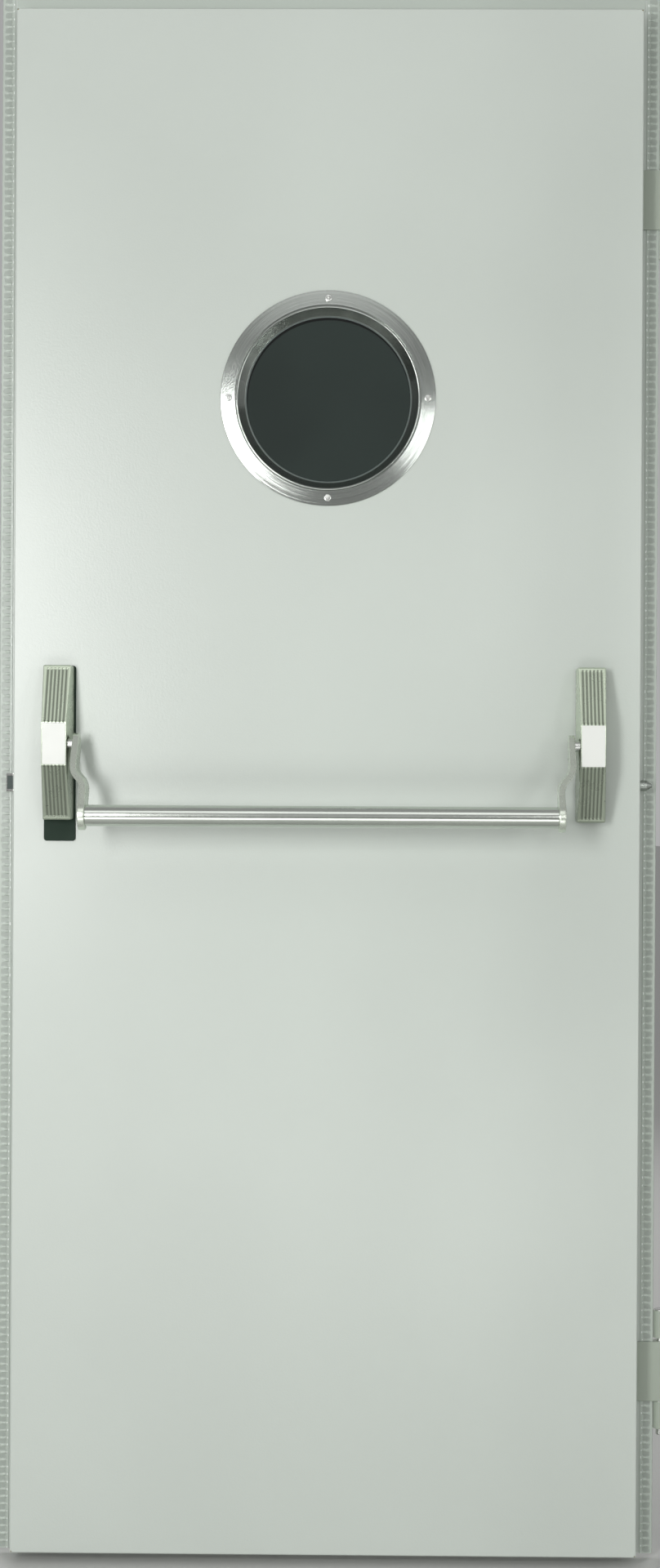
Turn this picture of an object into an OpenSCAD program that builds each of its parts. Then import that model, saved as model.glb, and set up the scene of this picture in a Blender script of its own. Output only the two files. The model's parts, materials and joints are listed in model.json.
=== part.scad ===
/* [Leaf] */
// Width of the tray that fills the frame opening
leaf_w = 815; // [600:5:1100]
// Height of the tray
leaf_h = 2010; // [1600:5:2450]
// Depth of the tray behind the rebate lip
tray_d = 45; // [35:1:60]
// Thickness of the sheet steel
sheet_t = 1; // [0.8:0.1:1.5]
// Outer radius of the tray's folded edges
tray_bend = 2; // [1.8:0.1:3]
// Diameter of the relief holes at the tray's corners
relief_d = 2; // [1.5:0.1:3]
// Overhang of the rebate lip beside the tray
lip_side = 25.5; // [22:0.5:32]
// Overhang of the rebate lip above the tray
lip_top = 28; // [24:0.5:34]
// Drop of the rebate lip below the tray
lip_drop = 8; // [5:0.5:12]
// Gap between the rebate lip and the floor
floor_gap = 5; // [3:0.5:12]
// Width of the folded hem on the lip
hem_w = 17; // [14:0.5:19]

/* [Clinch marks] */
// Pitch of the clinch marks along the side hems
clinch_pitch = 9.7; // [8:0.1:16]
// Length of a clinch mark across the hem
clinch_l = 8.4; // [5:0.2:9]
// Radius of the punch that raises a clinch mark
clinch_r = 3.4; // [2.5:0.1:4]
// Height of a clinch mark at its thick end
clinch_h = 0.9; // [0.4:0.1:1]

/* [Frame] */
// Depth of the frame through the wall
frame_d = 62; // [58:1:120]
// Width of the face flange
face_w = 45; // [40:1:70]
// Width of the return flange on the push side
return_w = 25; // [15:1:40]
// Thickness of the frame sheet
frame_t = 2; // [1.5:0.1:2.5]
// Inner radius of the frame's bends
frame_bend = 1.2; // [0.8:0.1:3]
// Gap between the tray and the frame
edge_gap = 7; // [6:0.5:10]
// Gap between the rebate lip and the frame face
lip_gap = 7; // [6.5:0.5:10]
// Thickness of the intumescent strip on the frame face
strip_t = 1; // [0.5:0.1:1]
// Width of the intumescent strip
strip_w = 8; // [6:1:10]
// Diameter of the wall anchor holes
anchor_d = 10.5; // [6:0.5:12]
// Number of wall anchor holes up each jamb
anchors = 4; // [3:1:6]
// Height of the lowest anchor hole
anchor_foot = 200; // [100:10:300]
// Distance from the top of the opening down to the highest anchor hole
anchor_head = 270; // [100:10:400]

/* [Hinges] */
// Distance from the lip edge out to the hinge axis
axis_out = 10; // [10:0.5:14]
// Distance from the outer skin to the hinge axis
axis_skin = 4; // [3:0.5:6]
// Outer radius of the knuckles
knuckle_r = 9.5; // [8:0.5:9.5]
// Radius of the hinge pin
pin_r = 5.5; // [4:0.5:6]
// Running clearance round the hinge pin
pin_play = 0.05; // [0.02:0.01:0.08]
// Height of the leaf knuckle and its wing
leaf_knuckle_h = 78; // [60:1:90]
// Height of each frame knuckle
frame_knuckle_h = 36; // [28:1:45]
// Gap above the leaf knuckle
knuckle_gap = 4.3; // [3:0.1:6]
// Thickness of the hinge wings
wing_t = 2.5; // [2:0.1:3]
// Corner radius of the hinge wings
wing_corner = 2; // [1:0.5:4]
// Height of the lower hinge above the foot of the tray
lower_hinge_z = 232; // [180:1:300]
// Drop of the upper hinge below the top of the tray
upper_hinge_drop = 237; // [180:1:400]
// Length of the pin below the lowest knuckle
pin_tail = 9; // [5:1:12]

/* [Porthole] */
// Drop of the porthole's middle below the top of the tray
porthole_drop = 506; // [450:1:600]
// Outer diameter of the ring
ring_d = 280; // [240:1:320]
// Diameter of the bead where the ring turns inwards
bead_d = 241; // [210:1:241]
// Diameter of the glass in view
view_d = 217; // [180:1:217]
// Thickness of the glass
glass_t = 24; // [16:1:26]

/* [Panic device] */
// Height of the housings' middle above the foot of the tray
housing_z = 1055; // [1000:1:1100]
// Distance from the lock edge to the housing
lock_inset = 41; // [35:1:50]
// Distance from the hinge edge to the housing
hinge_inset = 45.5; // [35:0.5:60]
// Width of a housing at the door
housing_w = 39; // [35:1:45]
// Height of a housing
housing_h = 200; // [180:1:220]
// Width of a housing at its crest
crest_w = 32; // [28:1:34]
// Height of a housing's crest above the door
crest_d = 51; // [49:1:70]
// Drop of the crest's middle below the housing's middle
crest_drop = 2; // [0:0.5:6]
// Height of a housing's ends above the door
end_d = 23; // [18:1:28]
// Height of the flat facet on the crest
facet_h = 55; // [45:1:65]
// Corner radius of a housing in front view
corner_r = 4; // [2:0.5:5]
// Number of flutes across a slope
flutes = 6; // [4:1:6]
// Distance between flutes
flute_pitch = 4.8; // [4.4:0.1:5]
// Radius of a flute
flute_r = 3; // [2:0.1:3.5]
// Depth of a flute
flute_dip = 0.75; // [0.4:0.05:0.8]
// Width of the dark base plate
plate_w = 41; // [40:0.1:44]
// Set of that plate towards the arm
plate_set = 1; // [0:0.1:2]
// Reach of the dark base plate below the housing
plate_drop = 27.5; // [15:0.5:40]
// Thickness of the base plates
plate_t = 3; // [2:0.5:4]
// Depth of the recess round the lever's hub
hub_recess = 4; // [2:0.5:4]
// Distance of the pivot from the door
pivot_d = 38; // [34:1:42]
// Height of the pivot above the foot of the tray
pivot_z = 1053; // [1040:1:1066]
// Radius of the pivot shafts
shaft_r = 7; // [5:0.5:8]
// Distance of the bar's middle from the door
bar_d = 95; // [85:1:105]
// Drop of the bar's middle below the pivot
bar_drop = 91; // [80:1:100]
// Radius of the bar
bar_r = 13.5; // [11:0.5:15]
// Wall of the bar
bar_t = 1.5; // [1:0.1:2.5]
// Gap between a housing's foot and the arm beside it
arm_gap = 4; // [2:0.5:5]
// Thickness of an arm
arm_t = 8; // [6:0.1:9]
// Thickness of the boss that holds the bar
boss_t = 8.9; // [8:0.1:11]
// Sideways set of the bend in an arm
arm_set = 15.3; // [8:0.1:18]
// Height of the bend in an arm
arm_bend_h = 34; // [28:1:40]
// Drop of the bend's start below the pivot
arm_drop = 26; // [20:1:30]

/* [Lock] */
// Height of the bolts above the foot of the tray
bolt_z = 1003; // [950:1:1050]
// Height of the forend's middle above the foot of the tray
forend_z = 1019; // [980:1:1040]
// Height of the forend
forend_h = 178; // [150:1:240]
// Width of the forend
forend_w = 20; // [18:1:24]
// Thickness of the forend
forend_t = 3; // [2:0.5:4]
// Corner radius of the forend and the strike plate
plate_corner = 3; // [1:0.5:5]
// Width of the strike plate behind the lock jamb
strike_w = 24; // [22:1:24]
// Height of the strike plate
strike_h = 80; // [60:5:120]
// Height of the latch bolt
latch_h = 24; // [16:1:30]
// Thickness of the latch bolt
latch_t = 12; // [8:1:14]
// Reach of the latch bolt past the tray
latch_out = 13; // [10:1:16]
// Length of the latch bolt behind the edge of the tray
latch_tail = 30; // [20:1:40]
// Travel of the latch bolt
latch_travel = 12; // [8:1:14]
// Diameter of the dog bolt
dog_d = 14; // [10:1:16]
// Reach of the dog bolt past the tray
dog_out = 17; // [14:1:18]
// Play of the dog bolt in its slot in the frame
dog_play = 3; // [2:0.5:5]
// Distance from the push face back to the dog bolt
dog_depth = 18; // [14:1:20]

/* [Hidden] */
$fn = 64;

eps = 0.01;
lip_t = 3 * sheet_t;

// The frame's wall face lies on x = 0, and the origin is midway across the hinge jamb's flange.
web_y = -(face_w + frame_t) / 2;
axis_x = -(frame_t + lip_gap + lip_t + axis_skin);
axis_y = web_y + axis_out + lip_side - edge_gap;
frame_x0 = -frame_t;
frame_x1 = frame_x0 + frame_d;

// The leaf stands open at a right angle to the frame.
skin_y = axis_y - axis_skin;
hem_y = skin_y - lip_t;
push_y = hem_y - tray_d;
lip_x1 = axis_x - axis_out;
tray_x1 = lip_x1 - lip_side;
tray_x0 = tray_x1 - leaf_w;
lip_x0 = tray_x0 - lip_side;
mid_x = (tray_x0 + tray_x1) / 2;
lip_z0 = floor_gap;
tray_z0 = floor_gap + lip_drop;
tray_z1 = tray_z0 + leaf_h;
lip_z1 = tray_z1 + lip_top;

opening_w = leaf_w + 2 * edge_gap;
lock_web_y = web_y - opening_w;
head_z = tray_z1 + edge_gap;
frame_z1 = head_z + face_w;
anchor_pitch = (head_z - anchor_head - anchor_foot) / (anchors - 1);

fold_r = lip_t / 2;
hinge_zs = [tray_z0 + lower_hinge_z, tray_z1 - upper_hinge_drop];

// Places of what crosses the frame when the leaf is shut, measured from the hinge axis.
latch_y = push_y + tray_d / 2;
latch_frame_x = axis_x + axis_y - latch_y;
dog_y = push_y + dog_depth;
dog_frame_x = axis_x + axis_y - dog_y;

opening_r = bead_d / 2 - 1;
liner_r = opening_r;
liner_t = 2;
porthole_mid_z = tray_z1 - porthole_drop;
glass_y = (push_y + skin_y) / 2;

housing_mid_z = tray_z0 + housing_z;
pivot_mid_z = tray_z0 + pivot_z;
bar_mid_z = pivot_mid_z - bar_drop;
draft = (housing_w - crest_w) / 2;
facet_t = 0.8;
arm_in = housing_w + arm_gap;

module at_lock_side() {
    translate([tray_x0 + lock_inset, push_y, 0])
        children();
}

module at_hinge_side() {
    translate([tray_x1 - hinge_inset, push_y, 0])
        mirror([1, 0, 0])
            children();
}

// A bar's cross-section in plan, extruded upwards from z0 to z1.
module upright(z0, z1) {
    translate([0, 0, z0])
        linear_extrude(z1 - z0)
            children();
}

// A section drawn with y as height, extruded along x from x0 to x1.
module along_x(x0, x1) {
    translate([x0, 0, 0])
        rotate([90, 0, 90])
            linear_extrude(x1 - x0)
                children();
}

// A front view drawn with y as height, extruded along y from y0 to y1.
module along_y(y0, y1) {
    translate([0, y1, 0])
        rotate([90, 0, 0])
            linear_extrude(y1 - y0)
                children();
}

// A rectangle from the origin, w along x and h along y, with round corners.
module round_rect(w, h, r) {
    translate([r, 0])
        square([w - 2 * r, h]);
    translate([0, r])
        square([w, h - 2 * r]);
    for (x = [r, w - r], y = [r, h - r])
        translate([x, y])
            circle(r = r);
}

// A block, w along x, d back from y = 0 and h up, with its four front edges round.
module folded_block(w, d, h, r) {
    intersection() {
        upright(0, h)
            difference() {
                round_rect(w, d + 2 * r, r);
                translate([-1, d])
                    square([w + 2, 3 * r]);
            }
        along_x(-1, w + 1)
            difference() {
                round_rect(d + 2 * r, h, r);
                translate([d, -1])
                    square([3 * r, h + 2]);
            }
    }
}

// The frame's section: u runs away from the opening, v through the wall.
module frame_section() {
    bend = frame_bend + frame_t;
    difference() {
        translate([0, frame_x0])
            round_rect(face_w + 2 * bend, frame_d, bend);
        translate([frame_t, 0])
            round_rect(face_w + 2 * bend, frame_d - 2 * frame_t, frame_bend);
        translate([return_w, frame_bend])
            square([face_w, frame_d]);
        translate([face_w, -2 * frame_t])
            square([3 * bend, 4 * frame_t]);
    }
}

// The half of the corner above the mitre, which the head fills.
module above_mitre() {
    along_x(frame_x0 - 1, frame_x1 + 1)
        polygon([[-1, head_z - 1], [face_w + 1, head_z + face_w + 1],
                 [-1, head_z + face_w + 1]]);
}

module below_mitre() {
    along_x(frame_x0 - 1, frame_x1 + 1)
        polygon([[-1, head_z - 1], [face_w + 1, head_z - 1],
                 [face_w + 1, head_z + face_w + 1]]);
}

module jamb() {
    difference() {
        upright(0, frame_z1)
            mirror([1, -1, 0])
                frame_section();
        above_mitre();
        for (z = [anchor_foot : anchor_pitch : head_z - anchor_head + eps])
            translate([frame_x1 - frame_t - anchor_d, 0, z])
                rotate([90, 0, 0])
                    cylinder(h = 4 * frame_t, d = anchor_d, center = true);
    }
}

// Places a jamb drawn with its opening face on y = 0 at each side of the opening.
module hinge_side_place() {
    translate([0, web_y, 0])
        children();
}

module lock_side_place() {
    translate([0, lock_web_y, 0])
        mirror([0, 1, 0])
            children();
}

module hinge_jamb() {
    color("#a7aaa5")
        difference() {
            hinge_side_place()
                jamb();
            translate([dog_frame_x - dog_d, web_y - frame_t, tray_z0 + bolt_z - dog_d / 2 - dog_play])
                cube([1.5 * dog_d + dog_play, 3 * frame_t, dog_d + 2 * dog_play]);
        }
}

module lock_jamb() {
    color("#a7aaa5")
        difference() {
            lock_side_place()
                jamb();
            strike_hole(5);
        }
}

// The hole that takes the latch bolt, with a margin all round.
module strike_hole(margin) {
    translate([latch_frame_x - latch_t / 2 - margin, lock_web_y - 4 * frame_t,
               tray_z0 + bolt_z - latch_h / 2 - margin])
        cube([latch_t + 2 * margin, 6 * frame_t, latch_h + 2 * margin]);
}

module frame_head() {
    color("#a7aaa5")
        difference() {
            translate([0, web_y + face_w, head_z])
                rotate([90, 0, 0])
                    linear_extrude(opening_w + 2 * face_w)
                        rotate(90)
                            mirror([0, 1, 0])
                                frame_section();
            hinge_side_place()
                below_mitre();
            lock_side_place()
                below_mitre();
        }
}

// The intumescent strips lie on the frame's face, under the lip.
strip_in = 2;

module jamb_strip() {
    translate([frame_x0 - strip_t, strip_in, 0])
        cube([strip_t, strip_w, head_z + strip_in]);
}

module hinge_side_strip() {
    color("#2b2d2e")
        hinge_side_place()
            jamb_strip();
}

module lock_side_strip() {
    color("#2b2d2e")
        lock_side_place()
            jamb_strip();
}

module head_strip() {
    color("#2b2d2e")
        translate([frame_x0 - strip_t, lock_web_y - strip_in - strip_w, head_z + strip_in])
            cube([strip_t, opening_w + 2 * (strip_in + strip_w), strip_w]);
}

module strike_plate() {
    color("#c9cccd")
        difference() {
            translate([latch_frame_x - strike_w / 2, 0, tray_z0 + bolt_z - strike_h / 2])
                along_y(lock_web_y - 2 * frame_t, lock_web_y - frame_t)
                    round_rect(strike_w, strike_h, plate_corner);
            strike_hole(3);
        }
}

// Two knuckles on the pin with the wing that carries them on the frame's face.
module frame_wing(zc) {
    knuckle_zs = [zc + leaf_knuckle_h / 2 + knuckle_gap,
                  zc - leaf_knuckle_h / 2 - 1 - frame_knuckle_h];
    color("#9aa095")
        difference() {
            union() {
                for (z = knuckle_zs)
                    translate([axis_x, axis_y, z]) {
                        cylinder(h = frame_knuckle_h, r = knuckle_r);
                        translate([0, 5, 0])
                            cube([frame_x0 - axis_x, 3, frame_knuckle_h]);
                    }
                translate([0, axis_y + 5, knuckle_zs[1]])
                    along_x(frame_x0 - 3, frame_x0)
                        round_rect(web_y + face_w - axis_y - 5.5,
                                   knuckle_zs[0] - knuckle_zs[1] + frame_knuckle_h, wing_corner);
            }
            translate([axis_x, axis_y, zc])
                cylinder(h = 2 * leaf_knuckle_h + 4 * frame_knuckle_h, r = pin_r, center = true);
        }
}

module lower_hinge_frame_wing() { frame_wing(hinge_zs[0]); }
module upper_hinge_frame_wing() { frame_wing(hinge_zs[1]); }

// The pin carries a washer that the leaf's knuckle rides on.
module hinge_pin(zc) {
    z0 = zc - leaf_knuckle_h / 2 - 1 - frame_knuckle_h;
    z1 = zc + leaf_knuckle_h / 2 + knuckle_gap + frame_knuckle_h;
    color("#d7dadb")
        translate([axis_x, axis_y, 0]) {
            translate([0, 0, z0 - pin_tail + 1])
                cylinder(h = z1 + 1 - z0 + pin_tail - 1, r = pin_r);
            translate([0, 0, z0 - pin_tail])
                cylinder(h = 1, r1 = pin_r - 1, r2 = pin_r);
            translate([0, 0, z1])
                cylinder(h = 1, r = knuckle_r - 1);
            translate([0, 0, z1 + 1])
                cylinder(h = 1, r1 = knuckle_r - 1, r2 = knuckle_r - 3);
            translate([0, 0, zc - leaf_knuckle_h / 2 - 1])
                cylinder(h = 0.7, r = knuckle_r - 1);
        }
}

module lower_hinge_pin() { hinge_pin(hinge_zs[0]); }
module upper_hinge_pin() { hinge_pin(hinge_zs[1]); }

// The tray: push face, four walls and the flange that the outer sheet is folded over.
module push_tray() {
    color("#c6cec6")
        difference() {
            union() {
                translate([tray_x0, push_y, tray_z0])
                    folded_block(leaf_w, tray_d + sheet_t, leaf_h, tray_bend);
                translate([lip_x0 + fold_r, hem_y + sheet_t, lip_z0])
                    cube([lip_x1 - lip_x0 - 2 * fold_r, sheet_t, lip_z1 - fold_r - lip_z0]);
            }
            core_block(tray_d + lip_t);
            relief_holes();
            porthole_bore(opening_r);
            forend_pocket();
            latch_pocket();
            dog_bore();
        }
}

// What the tray holds, d deep behind its face.
module core_block(d) {
    translate([tray_x0 + sheet_t, push_y + sheet_t, tray_z0 + sheet_t])
        folded_block(leaf_w - 2 * sheet_t, d, leaf_h - 2 * sheet_t, tray_bend - sheet_t);
}

// The blank's corner notches leave a small round hole where three edges meet.
module relief_holes() {
    for (x = [tray_x0 + tray_bend, tray_x1 - tray_bend], z = [tray_z0 + tray_bend, tray_z1 - tray_bend])
        translate([x, push_y - 1, z])
            rotate([-90, 0, 0])
                cylinder(h = 3 * sheet_t + 1, d = relief_d, $fn = 24);
}

module porthole_bore(r) {
    translate([mid_x, glass_y, porthole_mid_z])
        rotate([90, 0, 0])
            cylinder(h = 2 * tray_d, r = r, center = true, $fn = 180);
}

module forend_pocket() {
    translate([0, latch_y - forend_w / 2, tray_z0 + forend_z - forend_h / 2])
        along_x(tray_x0 - eps, tray_x0 - 1 + forend_t)
            round_rect(forend_w, forend_h, plate_corner);
}

// The pocket that the latch bolt slides in, with its running clearance.
latch_play = 0.3;

module latch_pocket() {
    translate([tray_x0 - eps, latch_y - latch_t / 2 - latch_play,
               tray_z0 + bolt_z - latch_h / 2 - latch_play])
        cube([latch_tail + latch_travel + 3, latch_t + 2 * latch_play, latch_h + 2 * latch_play]);
}

dog_tail = 15;

module dog_bore() {
    translate([tray_x1 - dog_tail, dog_y, tray_z0 + bolt_z])
        rotate([0, 90, 0])
            cylinder(h = dog_tail + 1, d = dog_d);
}

module pull_sheet() {
    color("#c6cec6")
        difference() {
            union() {
                translate([lip_x0 + fold_r, skin_y - sheet_t, lip_z0])
                    cube([lip_x1 - lip_x0 - 2 * fold_r, sheet_t, lip_z1 - fold_r - lip_z0]);
                for (x = [lip_x0 + fold_r, lip_x1 - hem_w])
                    translate([x, skin_y - sheet_t, lip_z0])
                        cube([hem_w - fold_r, sheet_t, lip_z1 - lip_z0]);
            }
            porthole_bore(opening_r);
        }
}

module core() {
    color("#d8cfa8")
        difference() {
            core_block(skin_y - push_y - 2 * sheet_t);
            relief_holes();
            porthole_bore(liner_r);
            forend_pocket();
            latch_pocket();
            dog_bore();
        }
}

// The folded edge in section: the bend round the tray's flange and the strip in front of it.
module hem_section() {
    difference() {
        union() {
            translate([-fold_r, fold_r])
                circle(r = fold_r, $fn = 32);
            translate([-hem_w + sheet_t / 2, 0])
                square([hem_w - sheet_t / 2 - fold_r, sheet_t]);
            translate([-hem_w + sheet_t / 2, sheet_t / 2])
                circle(d = sheet_t, $fn = 16);
        }
        translate([-fold_r, fold_r])
            circle(r = fold_r - sheet_t, $fn = 32);
        translate([-2 * fold_r, sheet_t])
            square([fold_r, 2 * lip_t]);
    }
}

// A clinch mark: a wedge with a round back, thick beside the tray and running out at the edge.
module clinch_mark() {
    intersection() {
        translate([-clinch_l / 2, clinch_r - clinch_h, 0])
            rotate([0, 90, 0])
                cylinder(h = clinch_l, r1 = clinch_r, r2 = clinch_r - clinch_h + 0.1, $fn = 32);
        translate([-clinch_l, -2 * clinch_h, -clinch_r])
            cube([2 * clinch_l, 2 * clinch_h + sheet_t / 2, 2 * clinch_r]);
    }
}

clinch_zs = [for (z = [lip_z0 + clinch_pitch : clinch_pitch : tray_z1 + clinch_pitch]) z];

module side_hem(zs) {
    upright(lip_z0, lip_z1)
        hem_section();
    for (z = zs)
        translate([-hem_w / 2 - 1, 0, z])
            clinch_mark();
}

function clear_of_hinges(z) =
    min([for (h = hinge_zs) abs(z - h)]) > leaf_knuckle_h / 2 + clinch_r + 0.5;

module hinge_side_hem() {
    color("#b9c0b8")
        translate([lip_x1, hem_y, 0])
            side_hem([for (z = clinch_zs) if (clear_of_hinges(z)) z]);
}

module lock_side_hem() {
    color("#b9c0b8")
        translate([lip_x0, hem_y, 0])
            mirror([1, 0, 0])
                side_hem(clinch_zs);
}

corner_gap = 2.5;

module top_hem() {
    color("#b9c0b8")
        translate([0, hem_y, lip_z1])
            rotate([90, 0, 90])
                translate([0, 0, lip_x0 + hem_w + corner_gap])
                    linear_extrude(lip_x1 - lip_x0 - 2 * (hem_w + corner_gap))
                        rotate(90)
                            mirror([0, 1, 0])
                                hem_section();
}

// The leaf's wing lies on the hem and runs into its knuckle.
module leaf_wing(zc) {
    color("#9aa095")
        translate([0, 0, zc - leaf_knuckle_h / 2])
            difference() {
                union() {
                    translate([tray_x1 + 0.5, 0, 0])
                        difference() {
                            along_y(hem_y - wing_t, hem_y)
                                round_rect(axis_x - tray_x1 + wing_corner, leaf_knuckle_h, wing_corner);
                            translate([axis_x - tray_x1 - 0.5, hem_y - 2 * wing_t, -1])
                                cube([2 * wing_corner, 4 * wing_t, leaf_knuckle_h + 2]);
                        }
                    translate([axis_x, axis_y, 0])
                        cylinder(h = leaf_knuckle_h, r = knuckle_r);
                }
                translate([axis_x, axis_y, -1])
                    cylinder(h = leaf_knuckle_h + 2, r = pin_r + pin_play);
            }
}

module lower_hinge_leaf_wing() { leaf_wing(hinge_zs[0]); }
module upper_hinge_leaf_wing() { leaf_wing(hinge_zs[1]); }

module forend() {
    color("#d7dadb")
        difference() {
            translate([0, latch_y - forend_w / 2, tray_z0 + forend_z - forend_h / 2])
                along_x(tray_x0 - 1, tray_x0 - 1 + forend_t)
                    round_rect(forend_w, forend_h, plate_corner);
            translate([tray_x0 - 2, latch_y - latch_t / 2 - latch_play,
                       tray_z0 + bolt_z - latch_h / 2 - latch_play])
                cube([forend_t + 2, latch_t + 2 * latch_play, latch_h + 2 * latch_play]);
        }
}

module dog_bolt() {
    cone_l = dog_out * 0.45;
    color("#b4b8b4")
        translate([tray_x1 - dog_tail, dog_y, tray_z0 + bolt_z])
            rotate([0, 90, 0]) {
                cylinder(h = dog_tail + dog_out - cone_l, d = dog_d);
                translate([0, 0, dog_tail + dog_out - cone_l])
                    cylinder(h = cone_l, d1 = dog_d, d2 = dog_d * 0.36);
            }
}

// The latch bolt, bevelled on the push side, with a dark insert let into the bevel.
module latch_plan() {
    polygon([[latch_tail, -latch_t / 2], [latch_tail, latch_t / 2],
             [-latch_out, latch_t / 2], [-latch_out, latch_t / 2 - 2.5],
             [-3, -latch_t / 2]]);
}

module insert_space() {
    translate([-latch_out + 1.5, -latch_t, -latch_h / 2 + 3.5])
        cube([latch_out - 3.5, 1.25 * latch_t, latch_h - 7]);
}

module at_latch() {
    translate([tray_x0, latch_y, tray_z0 + bolt_z])
        children();
}

module latch_bolt() {
    color("#d7dadb")
        at_latch()
            difference() {
                upright(-latch_h / 2, latch_h / 2)
                    latch_plan();
                insert_space();
            }
}

module latch_insert() {
    color("#5a625f")
        at_latch()
            intersection() {
                upright(-latch_h / 2, latch_h / 2)
                    latch_plan();
                insert_space();
            }
}

// A ring half in section: a dished flange with a rolled rim, a groove, the rolled bead,
// and the cone that runs in to a lip on the glass.
module ring(depth) {
    rim_r = 0.6;
    bead_r = 1.6;
    lip_r = 1;
    cone_t = 1.8;
    rim_x = ring_d / 2 - rim_r;
    groove_x = bead_d / 2 + 0.4;
    bead_x = bead_d / 2 - 2.1;
    lip_x = view_d / 2 + lip_r;
    run = [lip_x - bead_x, lip_r - depth - bead_r];
    rotate_extrude($fn = 180) {
        translate([rim_x, rim_r])
            circle(r = rim_r, $fn = 24);
        polygon([[bead_x, 0], [rim_x, 0], [rim_x, 2 * rim_r], [groove_x + 0.3, 2.6],
                 [groove_x, 2.3], [groove_x, 1.2], [bead_x, 1.2]]);
        translate([bead_x, bead_r]) {
            circle(r = bead_r, $fn = 32);
            rotate(atan2(run[1], run[0]))
                translate([0, -cone_t / 2])
                    square([norm(run), cone_t]);
        }
        translate([lip_x, lip_r - depth])
            circle(r = lip_r, $fn = 24);
        translate([lip_x, -depth])
            square([lip_r, lip_r]);
    }
}

module porthole_ring_push() {
    color("#c9cccd")
        translate([mid_x, push_y, porthole_mid_z])
            rotate([90, 0, 0])
                ring(glass_y - glass_t / 2 - push_y);
}

module porthole_ring_pull() {
    color("#c9cccd")
        translate([mid_x, skin_y, porthole_mid_z])
            rotate([-90, 0, 0])
                ring(skin_y - glass_y - glass_t / 2);
}

module porthole_liner() {
    color("#8d918e")
        translate([mid_x, glass_y, porthole_mid_z])
            rotate([90, 0, 0])
                rotate_extrude($fn = 180)
                    translate([liner_r - liner_t, -glass_t / 2])
                        square([liner_t, glass_t]);
}

module porthole_glass() {
    color("#1d2a26")
        translate([mid_x, glass_y, porthole_mid_z])
            rotate([90, 0, 0])
                cylinder(h = glass_t, r = liner_r - liner_t, center = true, $fn = 180);
}

end_round = 3;

// A housing stands on the door from y = 0 towards -y, with its outer side on x = 0.
module housing_side_view() {
    end_z = housing_h / 2;
    difference() {
        polygon([[-plate_t, -end_z], [-end_d, -end_z], [-end_d, end_round - end_z],
                 [-crest_d, -facet_h / 2 - crest_drop], [-crest_d, facet_h / 2 - crest_drop],
                 [-end_d, end_z - end_round], [-end_d, end_z], [-plate_t, end_z]]);
        for (side = [0, 1])
            mirror([0, side])
                translate([-end_d, -end_z])
                    difference() {
                        translate([-1, -1])
                            square(end_round + 1);
                        translate([end_round, end_round])
                            circle(r = end_round);
                    }
    }
}

module housing_plan() {
    polygon([[0, 0], [housing_w, 0], [housing_w - draft, -crest_d], [draft, -crest_d]]);
}

// A shallow flute down one slope, stopped short of both ends.
module flute(side) {
    run = [crest_d - end_d, side * (housing_h / 2 - end_round - facet_h / 2) + crest_drop];
    translate([0, -crest_d, side * facet_h / 2 - crest_drop])
        rotate([-atan2(run[0], run[1]), 0, 0])
            translate([0, side * (flute_dip - flute_r), 1.5])
                cylinder(h = norm(run) - 3.5, r = flute_r);
}

// The recess in the inner side that the lever's hub turns in, tapering down along the crest.
module hub_space() {
    translate([housing_w - draft - hub_recess, 0, 0])
        along_x(0, 2 * (hub_recess + draft))
            translate([-pivot_d, pivot_mid_z - housing_mid_z])
                rotate(atan2(-44, shaft_r + 3 - crest_d + pivot_d))
                    link(norm([44, crest_d - pivot_d - shaft_r - 3]), shaft_r + 3, 2);
}

module housing() {
    translate([0, 0, housing_mid_z])
        difference() {
            intersection() {
                along_x(0, housing_w)
                    housing_side_view();
                upright(-housing_h / 2, housing_h / 2)
                    housing_plan();
                translate([0, 0, -housing_h / 2])
                    along_y(-crest_d, 0)
                        round_rect(housing_w, housing_h, corner_r);
            }
            for (side = [-1, 1], i = [0 : flutes - 1])
                translate([housing_w / 2 + (i - (flutes - 1) / 2) * flute_pitch, 0, 0])
                    flute(side);
            translate([housing_w / 2, -pivot_d, pivot_mid_z - housing_mid_z])
                rotate([0, 90, 0])
                    cylinder(h = housing_w, r = shaft_r + pin_play);
            hub_space();
            translate([housing_w - 2, -13.7, 33])
                cube([3, 1.4, 6]);
            translate([0, -eps, 0])
                facet_block(facet_t + eps);
        }
}

module facet_block(t) {
    translate([draft + 1, 0, 1 - crest_drop - facet_h / 2])
        along_y(-crest_d, t - crest_d)
            round_rect(crest_w - 2, facet_h - 2, 1);
}

module facet() {
    translate([0, 0, housing_mid_z])
        facet_block(facet_t);
}

module lock_side_housing() {
    color("#a5aa98")
        at_lock_side()
            housing();
}

module hinge_side_housing() {
    color("#a5aa98")
        at_hinge_side()
            housing();
}

module lock_side_facet() {
    color("#eceeea")
        at_lock_side()
            facet();
}

module hinge_side_facet() {
    color("#eceeea")
        at_hinge_side()
            facet();
}

module base_plate(w, drop, set = 0) {
    translate([(housing_w - w) / 2 + set, 0, housing_mid_z - housing_h / 2 - drop])
        along_y(-plate_t, 0)
            round_rect(w, housing_h + drop, corner_r);
}

module lock_side_plate() {
    color("#23312c")
        at_lock_side()
            base_plate(plate_w, plate_drop, plate_set);
}

module hinge_side_plate() {
    color("#23312c")
        at_hinge_side()
            base_plate(housing_w - 1, -1);
}

bar_seat = 4;

// The arm, beside the housing: its side view, cut to an S in front view.
module arm_side_view() {
    translate([-pivot_d, pivot_mid_z])
        rotate(atan2(-bar_drop, pivot_d - bar_d))
            link(norm([bar_d - pivot_d, bar_drop]), 2 * shaft_r, bar_r + 4.5);
}

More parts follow.
